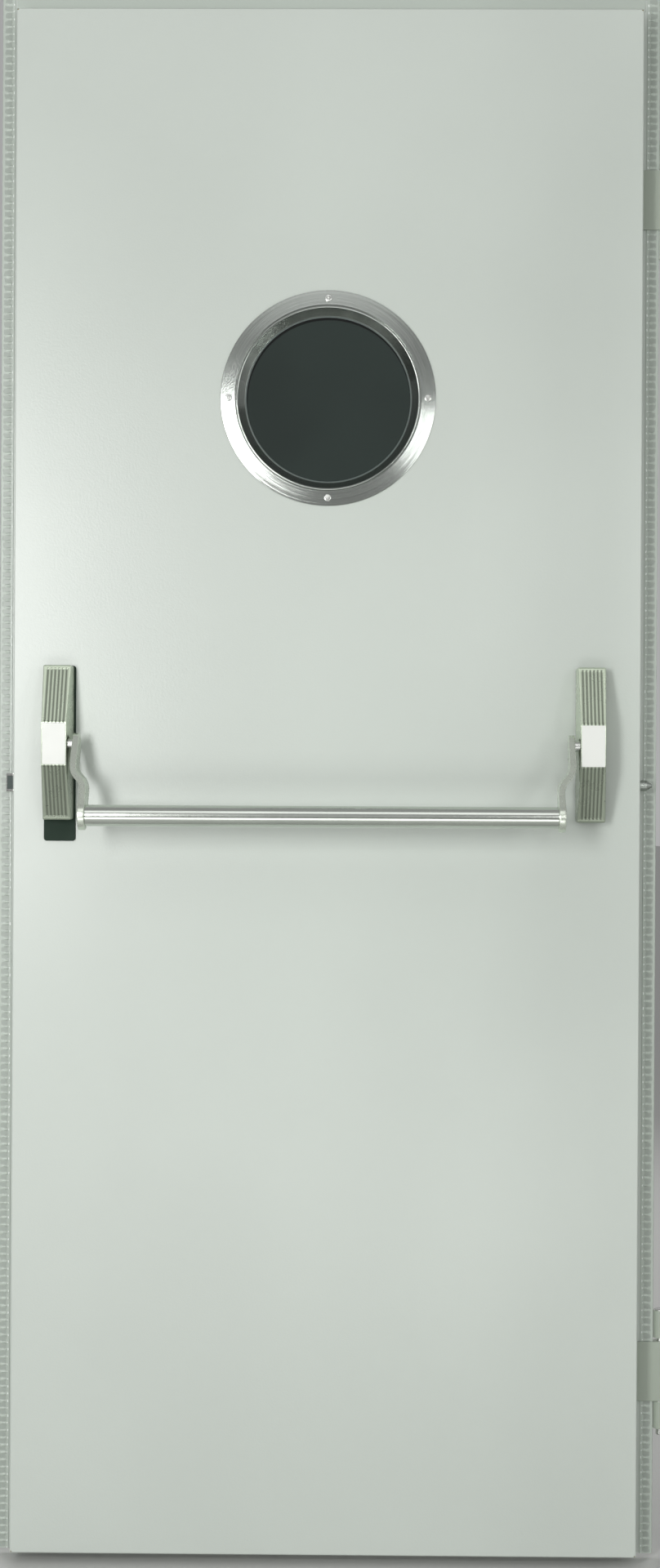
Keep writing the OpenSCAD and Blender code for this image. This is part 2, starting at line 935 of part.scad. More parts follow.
// Two circles along u and the straight flanks that run between them.
module link(l, r0, r1) {
    tilt = acos((r0 - r1) / l);
    up = [cos(tilt), sin(tilt)];
    down = [cos(tilt), -sin(tilt)];
    circle(r = r0);
    translate([l, 0])
        circle(r = r1);
    polygon([(r0 - eps) * up, (r0 - eps) * down,
             [l, 0] + (r1 - eps) * down, [l, 0] + (r1 - eps) * up]);
}

// One flank of the arm, off to one side of its middle line: straight down, then a swing
// outwards through two equal arcs and straight down again.
function arm_flank(off) =
    let (swing = 2 * atan(arm_set / arm_bend_h),
         r = arm_bend_h / 2 / sin(swing),
         steps = 8,
         x0 = arm_in + arm_t / 2 + r,
         x1 = x0 + arm_set - 2 * r,
         z0 = pivot_mid_z - arm_drop)
    concat([for (i = [0 : steps]) [x0 - (r - off) * cos(i * swing / steps),
                                   z0 - (r - off) * sin(i * swing / steps)]],
           [for (i = [1 : steps]) [x1 + (r + off) * cos(swing - i * swing / steps),
                                   z0 - arm_bend_h + (r + off) * sin(swing - i * swing / steps)]]);

module arm_front_view() {
    inner = arm_flank(-arm_t / 2);
    outer = arm_flank(arm_t / 2);
    n = len(inner);
    top = pivot_mid_z + 30;
    foot = bar_mid_z - 30;
    polygon(concat([[inner[0][0], top]], inner, [[inner[n - 1][0], foot], [outer[n - 1][0], foot]],
                   [for (i = [n - 1 : -1 : 0]) outer[i]], [[outer[0][0], top]]));
}

arm_out = arm_in + arm_set + (arm_t + boss_t) / 2;

module arm() {
    difference() {
        union() {
            intersection() {
                along_x(arm_in - 1, arm_out + 1)
                    arm_side_view();
                along_y(-bar_d - 40, 40 - pivot_d)
                    arm_front_view();
            }
            translate([arm_out - boss_t, -bar_d, bar_mid_z])
                rotate([0, 90, 0])
                    cylinder(h = boss_t, r = bar_r + 5);
        }
        translate([arm_out - bar_seat, -bar_d, bar_mid_z])
            rotate([0, 90, 0])
                cylinder(h = 2 * bar_seat, r = bar_r);
    }
}

module lock_side_arm() {
    color("#a5aa98")
        at_lock_side()
            arm();
}

module hinge_side_arm() {
    color("#a5aa98")
        at_hinge_side()
            arm();
}

module shaft() {
    translate([housing_w / 2 + 1, -pivot_d, pivot_mid_z])
        rotate([0, 90, 0])
            cylinder(h = arm_in - housing_w / 2 - 1, r = shaft_r);
}

module lock_side_shaft() {
    color("#d7dadb")
        at_lock_side()
            shaft();
}

module hinge_side_shaft() {
    color("#d7dadb")
        at_hinge_side()
            shaft();
}

// The bar is a tube let into the bosses of both arms.
module push_bar() {
    x0 = tray_x0 + lock_inset + arm_out - bar_seat;
    x1 = tray_x1 - hinge_inset - arm_out + bar_seat;
    color("#d0d4d4")
        translate([x0, push_y - bar_d, bar_mid_z])
            rotate([0, 90, 0])
                difference() {
                    cylinder(h = x1 - x0, r = bar_r);
                    translate([0, 0, -1])
                        cylinder(h = x1 - x0 + 2, r = bar_r - bar_t);
                }
}

hinge_jamb();
lock_jamb();
frame_head();
hinge_side_strip();
lock_side_strip();
head_strip();
strike_plate();
lower_hinge_frame_wing();
upper_hinge_frame_wing();
lower_hinge_pin();
upper_hinge_pin();
push_tray();
pull_sheet();
core();
hinge_side_hem();
lock_side_hem();
top_hem();
lower_hinge_leaf_wing();
upper_hinge_leaf_wing();
forend();
dog_bolt();
porthole_ring_push();
porthole_ring_pull();
porthole_liner();
porthole_glass();
lock_side_housing();
hinge_side_housing();
lock_side_plate();
hinge_side_plate();
lock_side_facet();
hinge_side_facet();
push_bar();
lock_side_arm();
hinge_side_arm();
lock_side_shaft();
hinge_side_shaft();
latch_bolt();
latch_insert();
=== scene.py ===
import json
import math

import bpy
from mathutils import Matrix, Vector


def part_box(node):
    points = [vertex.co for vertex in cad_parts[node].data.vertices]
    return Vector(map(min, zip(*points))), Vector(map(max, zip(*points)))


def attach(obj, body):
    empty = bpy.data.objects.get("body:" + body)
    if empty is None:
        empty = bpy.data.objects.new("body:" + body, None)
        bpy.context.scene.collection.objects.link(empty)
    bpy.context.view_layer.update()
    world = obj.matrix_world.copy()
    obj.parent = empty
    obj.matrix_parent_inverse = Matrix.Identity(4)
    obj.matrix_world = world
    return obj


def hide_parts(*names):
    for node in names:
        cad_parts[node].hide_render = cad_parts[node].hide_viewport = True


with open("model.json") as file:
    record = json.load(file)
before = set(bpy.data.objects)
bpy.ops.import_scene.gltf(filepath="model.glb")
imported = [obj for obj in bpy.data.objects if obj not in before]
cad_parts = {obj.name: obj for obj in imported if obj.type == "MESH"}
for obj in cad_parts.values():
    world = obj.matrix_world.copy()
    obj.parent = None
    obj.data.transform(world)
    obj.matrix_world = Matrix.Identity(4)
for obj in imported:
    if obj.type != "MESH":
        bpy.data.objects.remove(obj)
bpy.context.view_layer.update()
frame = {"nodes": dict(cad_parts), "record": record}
nodes = frame["nodes"]
nodeBody = {name: body for body, names in frame["record"]["behaviour"]["bodies"].items() for name in names}
nodeFinish = {part["node"]: part["material_slot"] for part in frame["record"]["subparts"]}
print("frame loaded:", len(nodes), "nodes")


class Field:
    # one socket of a node tree, so that shader maths reads as an expression
    def __init__(self, wiring, socket):
        self.wiring = wiring
        self.socket = socket

    def combine(self, operation, *terms):
        return self.wiring.add("ShaderNodeMath", {"operation": operation}, dict(enumerate(terms)))

    def __add__(self, other):
        return self.combine("ADD", self, other)

    def __sub__(self, other):
        return self.combine("SUBTRACT", self, other)

    def __rsub__(self, other):
        return self.combine("SUBTRACT", other, self)

    def __mul__(self, other):
        return self.combine("MULTIPLY", self, other)

    def __truediv__(self, other):
        return self.combine("DIVIDE", self, other)

    def __abs__(self):
        return self.combine("ABSOLUTE", self)

    def __gt__(self, other):
        return self.combine("GREATER_THAN", self, other)

    def __lt__(self, other):
        return self.combine("LESS_THAN", self, other)

    def fraction(self):
        return self.combine("FRACT", self)

    def least(self, other):
        return self.combine("MINIMUM", self, other)

    __radd__ = __add__
    __rmul__ = __mul__


class Wiring:
    # a node tree, and the one way that nodes come into it
    def __init__(self, tree):
        self.tree = tree

    def feed(self, node, socket, value):
        target = node.inputs[socket]
        if isinstance(value, Field):
            self.tree.links.new(value.socket, target)
        elif target.type == "RGBA" and len(value) == 3:
            target.default_value = (*value, 1)
        else:
            target.default_value = value

    def add(self, kind, settings=None, sockets=None, output=0):
        node = self.tree.nodes.new(kind)
        for setting, value in (settings or {}).items():
            if setting == "stops":
                ramp = node.color_ramp
                while len(ramp.elements) < len(value):
                    ramp.elements.new(0.5)
                for element, (position, colour) in zip(ramp.elements, value):
                    element.position = position
                    element.color = (*colour, 1)
            else:
                setattr(node, setting, value)
        for socket, value in (sockets or {}).items():
            self.feed(node, socket, value)
        return Field(self, node.outputs[output])


class Coat(Wiring):
    # a material with one Principled shader; constants go straight on its sockets
    def __init__(self, name, **constants):
        self.material = bpy.data.materials.new(name)
        self.material.use_nodes = True
        super().__init__(self.material.node_tree)
        self.shader = self.tree.nodes["Principled BSDF"]
        self.set(constants)

    def set(self, sockets):
        for socket, value in sockets.items():
            self.feed(self.shader, socket.replace("_", " "), value)

    def finish(self, **varying):
        self.set(varying)
        return self.material

    def place(self):
        return self.add("ShaderNodeTexCoord", output="Object")

    def along(self, axis):
        return self.add("ShaderNodeSeparateXYZ", {}, {"Vector": self.place()}, output=axis)

    def noise(self, scale, detail=2.0, roughness=0.5, at=None):
        return self.add("ShaderNodeTexNoise", {}, {
            "Vector": at or self.place(), "Scale": scale, "Detail": detail, "Roughness": roughness})

    def lines(self, at, detail, roughness):
        # noise along one number, so it draws lines wherever that number stays the same
        return self.add("ShaderNodeTexNoise", {"noise_dimensions": "1D"}, {
            "W": at, "Scale": 1.0, "Detail": detail, "Roughness": roughness})

    def stretched(self, scales):
        return self.add("ShaderNodeMapping", {}, {"Vector": self.place(), "Scale": scales})

    def level(self, field, low, high, toLow=0.0, toHigh=1.0):
        return self.add("ShaderNodeMapRange", {"interpolation_type": "SMOOTHSTEP"}, {
            "Value": field, "From Min": low, "From Max": high, "To Min": toLow, "To Max": toHigh})

    def mix(self, share, first, second):
        return self.add("ShaderNodeMix", {"data_type": "RGBA"}, {0: share, 6: first, 7: second}, output=2)

    def mottle(self, pattern, tint, dark, light, spread=(0.35, 0.65)):
        # a tint that a pattern darkens and lightens
        return self.mix(self.level(pattern, *spread), toned(tint, dark), toned(tint, light))

    def dullness(self, pattern, gloss, below, above, spread=(0.3, 0.7)):
        # a roughness that a pattern moves a little to each side of the gloss
        return self.level(pattern, *spread, gloss - below, gloss + above)

    def bump(self, height, distance, under=None):
        sockets = {"Height": height, "Distance": distance, "Strength": 1.0}
        if under:
            sockets["Normal"] = under
        return self.add("ShaderNodeBump", {}, sockets)


def grey(red, green, blue):
    # a screen colour of 0 to 255 as the linear values that a shader takes
    def linear(value):
        share = value / 255
        return share / 12.92 if share <= 0.04045 else ((share + 0.055) / 1.055) ** 2.4
    return (linear(red), linear(green), linear(blue))


def toned(tint, share):
    return [share * channel for channel in tint]


# sprayed and baked paint: slow waves of the sheet, a fine orange peel on them, and here and there a dark speck
powder = {
    "toneScale": 1.7, "tones": (0.97, 1.02),
    "speckScale": 9.0, "speckRadius": 0.009, "cellsWithout": 0.6, "speckShare": 0.55, "speckTone": 0.3,
    "waveScale": 2.3, "waveHeight": 0.0005,
    "peelScale": 360.0, "patchScale": 5.0, "patchSpread": (0.2, 0.8), "patchDepth": 0.012,
}


def powderCoat(name, tint, peel=0.00011, gloss=0.3):
    coat = Coat(name, IOR=1.5)
    shade = coat.mottle(coat.noise(powder["toneScale"], 3.0), tint, *powder["tones"])
    cells = {"Vector": coat.place(), "Scale": powder["speckScale"]}
    fromSpeck = coat.add("ShaderNodeTexVoronoi", {}, cells)
    pick = coat.add("ShaderNodeTexVoronoi", {}, cells, output="Color")
    speck = (fromSpeck < powder["speckRadius"]) * (pick > powder["cellsWithout"])
    colour = coat.mix(speck * powder["speckShare"], shade, toned(tint, powder["speckTone"]))
    wave = coat.bump(coat.noise(powder["waveScale"], 1.0), powder["waveHeight"])
    skin = coat.bump(coat.noise(powder["peelScale"], 3.0, 0.55), peel, under=wave)
    patches = coat.noise(powder["patchScale"], 2.0)
    return coat.finish(Base_Color=colour, Normal=skin, Roughness=coat.dullness(
        patches, gloss, powder["patchDepth"], powder["patchDepth"], powder["patchSpread"]))


# the clinch marks along the side hems: the distances are from the lip's edge, and the edges from a mark's middle
clinch = {
    "pitch": 0.0097, "wobble": 0.0008, "wobbleScale": 170.0, "soft": 0.0011,
    "dents": (0.003, 0.0135), "dentEdge": (0.0008, 0.0026), "dentShare": 0.45, "dentTone": 0.5, "dentDepth": 0.00015,
    "strokes": (0.0055, 0.012), "strokeEdge": (0.0001, 0.0011), "strokeShare": 0.5, "strokeTone": 1.35,
    # painted highlights: light caught on each mark's end next to the tray
    "markHighlights": (0.0134, 0.0158), "markHighlightEdge": (0.0006, 0.0016), "markHighlightShare": 0.9, "markHighlightTint": grey(244, 248, 245),
    # painted shadow in the gap between the tray's wall and the hem
    "seamShadow": (0.0172, 0.0196), "seamShadowShare": 0.85, "seamShadowTone": 0.12,
    "peelScale": 430.0, "peelDepth": 0.00005, "patchScale": 26.0, "gloss": 0.37, "patchDepth": 0.03,
}


def hemPaint(name, tint):
    # paint on the side hems: flattened dents between the clinch marks, a painted highlight where light catches each
    # mark's end by the tray, and a painted shadow along the seam at the tray's wall
    coat = Coat(name, IOR=1.5)
    x, z = coat.along("X"), coat.along("Z")
    lockLip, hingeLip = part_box("lock_side_hem")[0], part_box("hinge_side_hem")[1]
    wobble = coat.level(coat.noise(clinch["wobbleScale"], 4.0, 0.6), 0.3, 0.7, -1.0, 1.0) * clinch["wobble"]
    fromLip = abs(x - lockLip.x).least(abs(x - hingeLip.x)) + wobble
    inPitch = ((z - lockLip.z) / clinch["pitch"]).fraction()
    toMark = (0.5 - abs(inPitch - 0.5)) * clinch["pitch"] + wobble

    def across(start, end):
        soft = clinch["soft"]
        return coat.level(fromLip, start, start + soft) * coat.level(fromLip, end - soft, end, 1.0, 0.0)

    dent = coat.level(toMark, *clinch["dentEdge"]) * across(*clinch["dents"])
    stroke = coat.level(toMark, *clinch["strokeEdge"], 1.0, 0.0) * across(*clinch["strokes"])
    markHighlight = coat.level(toMark, *clinch["markHighlightEdge"], 1.0, 0.0) * across(*clinch["markHighlights"])
    seamShadow = across(*clinch["seamShadow"])
    colour = coat.mix(dent * clinch["dentShare"], tint, toned(tint, clinch["dentTone"]))
    colour = coat.mix(stroke * clinch["strokeShare"], colour, toned(tint, clinch["strokeTone"]))
    # painted highlight on the marks' ends by the tray
    colour = coat.mix(markHighlight * clinch["markHighlightShare"], colour, clinch["markHighlightTint"])
    # painted shadow along the seam by the tray
    colour = coat.mix(seamShadow * clinch["seamShadowShare"], colour, toned(tint, clinch["seamShadowTone"]))
    peel = coat.bump(coat.noise(clinch["peelScale"], 3.0, 0.55), clinch["peelDepth"])
    patches = coat.noise(clinch["patchScale"], 4.0)
    return coat.finish(Base_Color=colour, Normal=coat.bump(1 - dent, clinch["dentDepth"], under=peel),
                       Roughness=coat.dullness(patches, clinch["gloss"], clinch["patchDepth"], clinch["patchDepth"]))


# metallic paint on the device's castings; the upper slopes are painted lighter and the lower ones darker, as light
# from above falls on them, and painted shade lies in the flutes
cast = {
    "flakeScale": 1500.0, "flakeSpread": (0.35, 0.7), "grainScale": 700.0, "grainDepth": 0.00002,
    "patchScale": 60.0, "below": 0.04, "above": 0.05,
    # painted shade on the lower slopes and in the flutes, painted light on the upper slopes
    "lowerShadeTones": (0.76, 0.8), "upperLightTones": (1.28, 1.4), "fluteShadeTone": 0.3,
}
flutes = {"count": 6, "pitch": 0.0048, "reach": 0.0965, "open": 0.1, "wall": 0.22, "fade": 0.02}
leftHousing, rightHousing = ((low + high) / 2 for low, high in (
    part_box("lock_side_housing"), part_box("hinge_side_housing")))


def upperSlope(coat):
    # 1 on the housings' upper slopes, 0 on the lower ones
    return coat.level(coat.along("Z"), leftHousing.z - flutes["fade"], leftHousing.z + flutes["fade"])


def inFlutes(coat):
    # 1 along the middle of each flute, 0 on the ridges between them and off the slopes
    middle, half = (leftHousing.x + rightHousing.x) / 2, (rightHousing.x - leftHousing.x) / 2
    across = abs(abs(coat.along("X") - middle) - half)
    up = abs(coat.along("Z") - leftHousing.z)
    fromMiddle = abs((across / flutes["pitch"]).fraction() - 0.5)
    groove = coat.level(fromMiddle, flutes["open"], flutes["open"] + flutes["wall"], 1.0, 0.0)
    return groove * ((across < flutes["pitch"] * flutes["count"] / 2) * (up < flutes["reach"]))


def satinCast(name, tint, metal=0.55, gloss=0.36, paintedShading=0.0, sparkle=0.05):
    coat = Coat(name, Metallic=metal, IOR=1.5)
    glint = coat.level(coat.noise(cast["flakeScale"], 2.0, 0.6), *cast["flakeSpread"])
    if paintedShading:
        # painted light and shade: the upper slopes lighter and the lower ones darker, for the light from above
        upperLit = upperSlope(coat)
        dull, bright = (coat.mix(upperLit, toned(tint, shadedTone), toned(tint, litTone))
                        for shadedTone, litTone in zip(cast["lowerShadeTones"], cast["upperLightTones"]))
        # painted shade along the flutes' hollows
        colour = coat.mix(inFlutes(coat) * paintedShading, coat.mix(glint, dull, bright), toned(tint, cast["fluteShadeTone"]))
    else:
        colour = coat.mix(glint, toned(tint, 1 - sparkle), toned(tint, 1 + sparkle))
    skin = coat.bump(coat.noise(cast["grainScale"], 2.0), cast["grainDepth"])
    return coat.finish(Base_Color=colour, Normal=skin, Roughness=coat.dullness(
        coat.noise(cast["patchScale"], 3.0), gloss, cast["below"], cast["above"]))


spun = {"fine": 1800.0, "broad": 420.0, "tones": (0.93, 1.03), "depth": 0.00005, "below": 0.02, "above": 0.05}


def spunSteel(name, tint, gloss=0.11):
    # brush lines run round the ring, so they are read from the distance to its middle
    low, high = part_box("porthole_ring_push")
    middle = (low + high) / 2
    coat = Coat(name, Metallic=1.0)
    fromMiddle = coat.add("ShaderNodeVectorMath", {"operation": "SUBTRACT"}, {
        0: coat.place(), 1: (middle.x, 0, middle.z)})
    flat = coat.add("ShaderNodeVectorMath", {"operation": "MULTIPLY"}, {0: fromMiddle, 1: (1, 0, 1)})
    radius = coat.add("ShaderNodeVectorMath", {"operation": "LENGTH"}, {0: flat}, output="Value")
    fine = coat.lines(radius * spun["fine"], 3.0, 0.65)
    broad = coat.lines(radius * spun["broad"], 2.0, 0.5)
    return coat.finish(Base_Color=coat.mottle(broad, tint, *spun["tones"], spread=(0.3, 0.7)),
                       Normal=coat.bump(fine, spun["depth"]),
                       Roughness=coat.dullness(fine, gloss, spun["below"], spun["above"]))


drawn = {"polish": (2400.0, 90.0, 90.0), "streaks": (14.0, 300.0, 300.0), "tones": (0.94, 1.03),
         "depth": 0.00001, "below": 0.04, "above": 0.06}


def drawnSteel(name, tint, gloss=0.15):
    # polish lines run round the tube, and faint streaks along it
    coat = Coat(name, Metallic=1.0)
    polish = coat.noise(1.0, 3.0, 0.6, at=coat.stretched(drawn["polish"]))
    streaks = coat.noise(1.0, 2.0, 0.5, at=coat.stretched(drawn["streaks"]))
    return coat.finish(Base_Color=coat.mottle(streaks, tint, *drawn["tones"], spread=(0.3, 0.7)),
                       Normal=coat.bump(polish, drawn["depth"]),
                       Roughness=coat.dullness(polish, gloss, drawn["below"], drawn["above"]))


plain = {"scale": 240.0, "depth": 0.00003, "below": 0.06, "above": 0.08}


def plainSteel(name, tint, gloss=0.3, mottle=0.1):
    coat = Coat(name, Metallic=1.0)
    cloud = coat.noise(plain["scale"], 4.0, 0.6)
    return coat.finish(Base_Color=coat.mottle(cloud, tint, 1 - mottle, 1.0),
                       Normal=coat.bump(cloud, plain["depth"]),
                       Roughness=coat.dullness(cloud, gloss, plain["below"], plain["above"]))


dense = {"tones": (0.9, 1.08), "patchScale": 40.0, "patchDepth": 0.06}


def moulded(name, tint, gloss=0.5, grain=900.0, depth=0.00004, shine=0.5):
    # rubber, plastic, strip and board: a fine grain and dull patches
    coat = Coat(name, Specular_IOR_Level=shine)
    cloud = coat.noise(grain, 2.0)
    patches = coat.noise(dense["patchScale"], 3.0)
    return coat.finish(Base_Color=coat.mottle(cloud, tint, *dense["tones"]), Normal=coat.bump(cloud, depth),
                       Roughness=coat.dullness(patches, gloss, dense["patchDepth"], dense["patchDepth"]))


pane = {"toneScale": 6.0, "tones": (0.9, 1.1), "smearScale": 30.0, "gloss": 0.0225, "smear": 0.0075}


def tintedGlass(name, tint):
    coat = Coat(name, Transmission_Weight=1.0, IOR=1.5)
    smears = coat.noise(pane["smearScale"])
    return coat.finish(Base_Color=coat.mottle(coat.noise(pane["toneScale"], 2.0), tint, *pane["tones"]),
                       Roughness=coat.dullness(smears, pane["gloss"], pane["smear"], pane["smear"]))


finishes = {
    "leaf_paint": powderCoat("leafPaint", grey(192, 199, 192)),
    "hem_paint": hemPaint("hemPaint", grey(184, 193, 184)),
    "frame_paint": powderCoat("framePaint", grey(188, 195, 187)),
    "hinge_paint": powderCoat("hingePaint", grey(162, 171, 158), peel=0.00003, gloss=0.36),
    "device_paint": satinCast("devicePaint", grey(174, 184, 166), metal=0.7, gloss=0.3, paintedShading=0.85),
    "facet_satin": satinCast("facetSatin", grey(228, 230, 225), metal=0.0, gloss=0.5, sparkle=0.01),
    "black_plate": moulded("blackPlate", grey(34, 50, 40), gloss=0.65, shine=0.2),
    "satin_bar": drawnSteel("satinBar", grey(206, 211, 204)),
    "brushed_ring": spunSteel("brushedRing", grey(174, 179, 174)),
    "fire_glass": tintedGlass("fireGlass", (0.05, 0.075, 0.065)),
    "bright_steel": plainSteel("brightSteel", grey(222, 224, 220), gloss=0.22),
    "zinc_steel": plainSteel("zincSteel", grey(205, 209, 206), gloss=0.34, mottle=0.2),
    "bolt_steel": plainSteel("boltSteel", grey(168, 174, 168), gloss=0.3),
    "dark_insert": moulded("darkInsert", grey(88, 98, 95), gloss=0.35),
    "intumescent": moulded("intumescent", grey(46, 48, 49), gloss=0.7, grain=500.0, depth=0.00015),
    "core_board": moulded("coreBoard", grey(214, 206, 176), gloss=0.85, grain=300.0, depth=0.0003),
}
# the levers are handled, so they are brighter than the housings
armSatin = satinCast("armSatin", grey(215, 222, 210), metal=0.85, gloss=0.26, sparkle=0.015)

for name, node in nodes.items():
    node.data.materials.clear()
    node.data.materials.append(finishes[nodeFinish[name]])
print("finishes on:", len(nodeFinish), "nodes")


def putDown():
    # nothing picked, nothing open in edit mode
    if bpy.context.object and bpy.context.object.mode != "OBJECT":
        bpy.ops.object.mode_set(mode="OBJECT")
    bpy.ops.object.select_all(action="DESELECT")


def takeUp(piece):
    putDown()
    piece.select_set(True)
    bpy.context.view_layer.objects.active = piece


def openUp(piece, kind, test):
    # edit mode, with only the faces or edges picked that pass the test
    takeUp(piece)
    bpy.ops.object.mode_set(mode="EDIT")
    bpy.ops.mesh.select_mode(type=kind)
    bpy.ops.mesh.select_all(action="DESELECT")
    bpy.ops.object.mode_set(mode="OBJECT")
    for part in (piece.data.polygons if kind == "FACE" else piece.data.edges):
        part.select = test(part)
    bpy.ops.object.mode_set(mode="EDIT")


def roundTop(piece, width, segments, profile=0.5):
    # the rim of a standing cylinder's upper end
    openUp(piece, "EDGE", lambda edge: all(piece.data.vertices[v].co.z > 0 for v in edge.vertices))
    bpy.ops.mesh.bevel(offset=width, segments=segments, profile=profile)
    bpy.ops.object.mode_set(mode="OBJECT")
    settle(piece)


def modify(piece, kind, **settings):
    takeUp(piece)
    modifier = piece.modifiers.new(kind.lower(), kind)
    for setting, value in settings.items():
        setattr(modifier, setting, value)
    bpy.ops.object.modifier_apply(modifier=modifier.name)


def cutWith(piece, cutter):
    modify(piece, "BOOLEAN", operation="DIFFERENCE", solver="EXACT", object=cutter)
    bpy.data.objects.remove(cutter)


def settle(piece):
    # the place goes into the mesh, and the faces point outwards
    takeUp(piece)
    bpy.ops.object.transform_apply(location=True, rotation=True, scale=True)
    bpy.ops.object.mode_set(mode="EDIT")
    bpy.ops.mesh.select_all(action="SELECT")
    bpy.ops.mesh.remove_doubles(threshold=1e-7)
    bpy.ops.mesh.normals_make_consistent(inside=False)
    bpy.ops.object.mode_set(mode="OBJECT")


def smooth(piece, angle):
    takeUp(piece)
    bpy.ops.object.shade_smooth_by_angle(angle=math.radians(angle))


def fit(piece, body, finish, *stoodFor, special=None):
    # the finish, the body it moves with, and the nodes it stands for
    piece.data.materials.clear()
    piece.data.materials.append(special or finishes[finish])
    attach(piece, body)
    if stoodFor:
        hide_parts(*stoodFor)


def standIn(piece, nodeName, special=None):
    fit(piece, nodeBody[nodeName], nodeFinish[nodeName], nodeName, special=special)


def copyOf(source, name):
    piece = bpy.data.objects.new(name, source.data.copy())
    bpy.context.scene.collection.objects.link(piece)
    return piece


def workingCopy(nodeName, pieceName, merge=2e-6, flat=0.6):
    # a node's mesh as one clean surface, for more work
    piece = copyOf(nodes[nodeName], pieceName)
    takeUp(piece)
    if piece.data.has_custom_normals:
        bpy.ops.mesh.customdata_custom_splitnormals_clear()
    bpy.ops.object.mode_set(mode="EDIT")
    bpy.ops.mesh.select_all(action="SELECT")
    bpy.ops.mesh.remove_doubles(threshold=merge)
    bpy.ops.mesh.dissolve_limited(angle_limit=math.radians(flat))
    bpy.ops.object.mode_set(mode="OBJECT")
    return piece


# what a press, a file or a tumbler leaves on each piece's edges
edgeWear = {
    "lock_side_facet": {"name": "lockSideFacet", "width": 0.0003},
    "hinge_side_facet": {"name": "hingeSideFacet", "width": 0.0003},
    "lock_side_plate": {"name": "lockSidePlate", "width": 0.0006, "segments": 3},
    "hinge_side_plate": {"name": "hingeSidePlate", "width": 0.0005},
    "lower_hinge_leaf_wing": {"name": "lowerLeafWing", "width": 0.0005},
    "upper_hinge_leaf_wing": {"name": "upperLeafWing", "width": 0.0005},
    "lower_hinge_frame_wing": {"name": "lowerFrameWing", "width": 0.0005},
    "upper_hinge_frame_wing": {"name": "upperFrameWing", "width": 0.0005},
    "latch_bolt": {"name": "latchBolt", "width": 0.0006},
    "dog_bolt": {"name": "dogBolt", "width": 0.0006},
    "strike_plate": {"name": "strikePlate", "width": 0.0003},
}
edges = {"sharperThan": 34, "segments": 2, "smoothUpTo": 38}


def breakEdges(piece, width, segments):
    modify(piece, "BEVEL", width=width, segments=segments, limit_method="ANGLE",
           angle_limit=math.radians(edges["sharperThan"]), miter_outer="MITER_ARC", harden_normals=False)
    modify(piece, "TRIANGULATE", ngon_method="BEAUTY", min_vertices=5)
    smooth(piece, edges["smoothUpTo"])
    modify(piece, "WEIGHTED_NORMAL", mode="FACE_AREA", keep_sharp=True)


for nodeName, wear in edgeWear.items():
    piece = workingCopy(nodeName, wear["name"])
    breakEdges(piece, wear["width"], wear.get("segments", edges["segments"]))
    standIn(piece, nodeName)
print("edges broken on:", len(edgeWear), "pieces")

casting = {"voxel": 0.0006, "keep": 0.35, "ease": 0.5, "housingPasses": 3, "armPasses": 14, "smoothUpTo": 55}


def makeCasting(nodeName, pieceName, passes, special=None):
    # a die casting: every edge of it is a little round
    piece = workingCopy(nodeName, pieceName, flat=0)
    modify(piece, "REMESH", mode="VOXEL", voxel_size=casting["voxel"])
    modify(piece, "SMOOTH", factor=casting["ease"], iterations=passes)
    modify(piece, "DECIMATE", ratio=casting["keep"])
    smooth(piece, casting["smoothUpTo"])
    standIn(piece, nodeName, special=special)


makeCasting("lock_side_housing", "lockSideHousing", casting["housingPasses"])
makeCasting("hinge_side_housing", "hingeSideHousing", casting["housingPasses"])
makeCasting("lock_side_arm", "lockSideArm", casting["armPasses"], armSatin)
makeCasting("hinge_side_arm", "hingeSideArm", casting["armPasses"], armSatin)
print("castings made: housings and arms")

screw = {"radius": 0.0047, "height": 0.0023, "sides": 40, "crown": 0.0013, "crownSteps": 5, "crownProfile": 0.55,
         "slotLength": 0.0044, "slotWidth": 0.0011, "slotDepth": 0.0013, "slotTurns": (45, 135),
         "slotTaper": (0.45, 0.7, 1)}


def makeScrew(name):
    # a pan head with a cross recess, standing up from the origin
    putDown()
    bpy.ops.mesh.primitive_cylinder_add(vertices=screw["sides"], radius=screw["radius"], depth=screw["height"],
                                        location=(0, 0, screw["height"] / 2))
    head = bpy.context.object
    head.name = name
    roundTop(head, screw["crown"], screw["crownSteps"], screw["crownProfile"])
    for turn in screw["slotTurns"]:
        putDown()
        bpy.ops.mesh.primitive_cube_add(size=1, location=(0, 0, screw["height"]),
                                        rotation=(0, 0, math.radians(turn)),
                                        scale=(screw["slotLength"], screw["slotWidth"], 2 * screw["slotDepth"]))
        blade = bpy.context.object
        openUp(blade, "FACE", lambda face: face.normal.z < -0.9)
        bpy.ops.transform.resize(value=screw["slotTaper"])
        bpy.ops.object.mode_set(mode="OBJECT")
        settle(blade)
        cutWith(head, blade)
    smooth(head, 30)
    return head


def setScrew(name, place, facing, spin, body):
    # one more screw, with its own mesh, its head facing along a direction
    piece = copyOf(pattern, name)
    turn = Vector((0, 0, 1)).rotation_difference(Vector(facing)).to_matrix().to_4x4()
    piece.data.transform(Matrix.Translation(place) @ turn @ Matrix.Rotation(math.radians(spin), 4, "Z"))
    fit(piece, body, "bright_steel")


